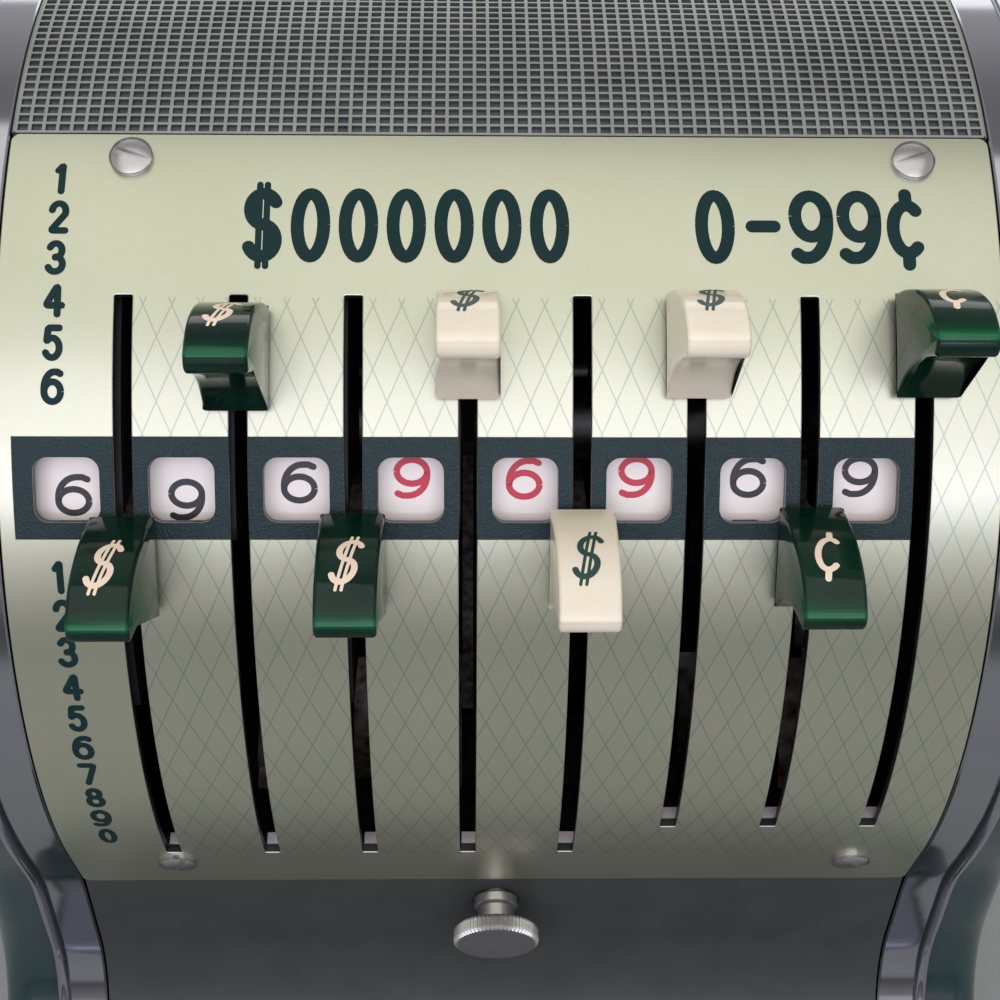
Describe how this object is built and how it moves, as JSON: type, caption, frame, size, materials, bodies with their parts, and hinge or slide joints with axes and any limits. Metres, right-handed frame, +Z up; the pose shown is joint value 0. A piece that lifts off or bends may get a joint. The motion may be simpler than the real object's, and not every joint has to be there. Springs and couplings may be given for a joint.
{
  "type": "check writer",
  "caption": "Lever-set check writer: curved slotted face plate with sliding digit levers and windows, paper throat over a cast base, side handle that lifts the platen.",
  "frame": {"origin": "on the table under the middle rubber foot, below the main shaft, at the middle of the face plate width", "axes": "+X to the operator's right, +Y to the rear, +Z up"},
  "size_m": [0.2028, 0.249, 0.1917],
  "materials": {
    "plate": "satin",
    "enamel": "gloss",
    "apron": "satin",
    "grid": "satin",
    "chrome": "polished",
    "steel": "machined",
    "nickel": "satin",
    "type": "machined",
    "digit_white": "satin",
    "green_plastic": "gloss",
    "ivory_plastic": "gloss",
    "cast": "enamelled",
    "rubber": "matte"
  },
  "bodies": {
    "housing": {"base": "cast", "rubber_feet": "rubber", "paper_table": "steel", "right_side_frame": "steel", "left_side_frame": "steel", "tie_rods": "steel", "main_shaft": "steel", "detent_comb": "steel", "throat_guide": "steel", "face_plate": "plate", "plate_rails": "steel", "slot_stops": "nickel", "pan_screws": "nickel", "grid_cover": "grid", "rear_cover": "enamel", "apron": "apron", "right_cheek": "chrome", "left_cheek": "chrome", "right_side_cover": "enamel", "left_side_cover": "enamel", "return_spring": "steel"},
    "lever_1": {"lever_arm_1": "steel", "lever_tab_1": "green_plastic", "number_segment_1": "digit_white", "type_segment_1": "type"},
    "lever_2": {"lever_arm_2": "steel", "lever_tab_2": "green_plastic", "number_segment_2": "digit_white", "type_segment_2": "type"},
    "lever_3": {"lever_arm_3": "steel", "lever_tab_3": "green_plastic", "number_segment_3": "digit_white", "type_segment_3": "type"},
    "lever_4": {"lever_arm_4": "steel", "lever_tab_4": "ivory_plastic", "number_segment_4": "digit_white", "type_segment_4": "type"},
    "lever_5": {"lever_arm_5": "steel", "lever_tab_5": "ivory_plastic", "number_segment_5": "digit_white", "type_segment_5": "type"},
    "lever_6": {"lever_arm_6": "steel", "lever_tab_6": "ivory_plastic", "number_segment_6": "digit_white", "type_segment_6": "type"},
    "lever_7": {"lever_arm_7": "steel", "lever_tab_7": "green_plastic", "number_segment_7": "digit_white", "type_segment_7": "type"},
    "lever_8": {"lever_arm_8": "steel", "lever_tab_8": "green_plastic", "number_segment_8": "digit_white", "type_segment_8": "type"},
    "handle": {"handle_shaft": "steel", "handle_arm": "chrome", "handle_grip": "green_plastic"},
    "wedge": {"lift_wedge": "steel"},
    "platen": {"platen": "steel"},
    "thumb_screw": {"thumb_screw": "nickel"},
    "ink_roller": {"ink_roller": "rubber"}
  },
  "joints": [
    {"name": "lever_1_swing", "type": "hinge", "parent": "housing", "child": "lever_1", "pos_m": [-0.0525, 0, 0.104], "axis": [1, 0, 0], "range_deg": [-20.4, 43.6]},
    {"name": "lever_2_swing", "type": "hinge", "parent": "housing", "child": "lever_2", "pos_m": [-0.03662, 0, 0.104], "axis": [1, 0, 0], "range_deg": [-1.4, 62.6]},
    {"name": "lever_3_swing", "type": "hinge", "parent": "housing", "child": "lever_3", "pos_m": [-0.02075, 0, 0.104], "axis": [1, 0, 0], "range_deg": [-20.1, 43.9]},
    {"name": "lever_4_swing", "type": "hinge", "parent": "housing", "child": "lever_4", "pos_m": [-0.00487, 0, 0.104], "axis": [1, 0, 0], "range_deg": [-0.3, 63.7]},
    {"name": "lever_5_swing", "type": "hinge", "parent": "housing", "child": "lever_5", "pos_m": [0.011, 0, 0.104], "axis": [1, 0, 0], "range_deg": [-19.7, 44.3]},
    {"name": "lever_6_swing", "type": "hinge", "parent": "housing", "child": "lever_6", "pos_m": [0.02687, 0, 0.104], "axis": [1, 0, 0], "range_deg": [-0.2, 57.4]},
    {"name": "lever_7_swing", "type": "hinge", "parent": "housing", "child": "lever_7", "pos_m": [0.04275, 0, 0.104], "axis": [1, 0, 0], "range_deg": [-19.5, 38.1]},
    {"name": "lever_8_swing", "type": "hinge", "parent": "housing", "child": "lever_8", "pos_m": [0.05862, 0, 0.104], "axis": [1, 0, 0], "range_deg": [-0.1, 57.5]},
    {"name": "handle_pull", "type": "hinge", "parent": "housing", "child": "handle", "pos_m": [0.09, 0.076, 0.04], "axis": [1, 0, 0], "range_deg": [0, 50], "stiffness_Nm_per_rad": 1.2, "springref_deg": -20.05},
    {"name": "wedge_slide", "type": "slide", "parent": "housing", "child": "wedge", "axis": [0, 1, 0], "range_m": [0, 0.01353]},
    {"name": "platen_lift", "type": "slide", "parent": "housing", "child": "platen", "axis": [0, 0, 1], "range_m": [0, 0.0016]},
    {"name": "thumb_screw_turn", "type": "hinge", "parent": "housing", "child": "thumb_screw", "pos_m": [0, -0.08413, 0.07307], "axis": [0, -0.9976, -0.0698], "continuous": true},
    {"name": "ink_roller_turn", "type": "hinge", "parent": "housing", "child": "ink_roller", "pos_m": [0, -0.06013, 0.05354], "axis": [1, 0, 0], "continuous": true}
  ],
  "couplings": [
    {"joint": "wedge_slide", "follows": "handle_pull", "m_per_rad": 0.015497},
    {"joint": "platen_lift", "follows": "handle_pull", "m_per_rad": 0.0018335}
  ]
}
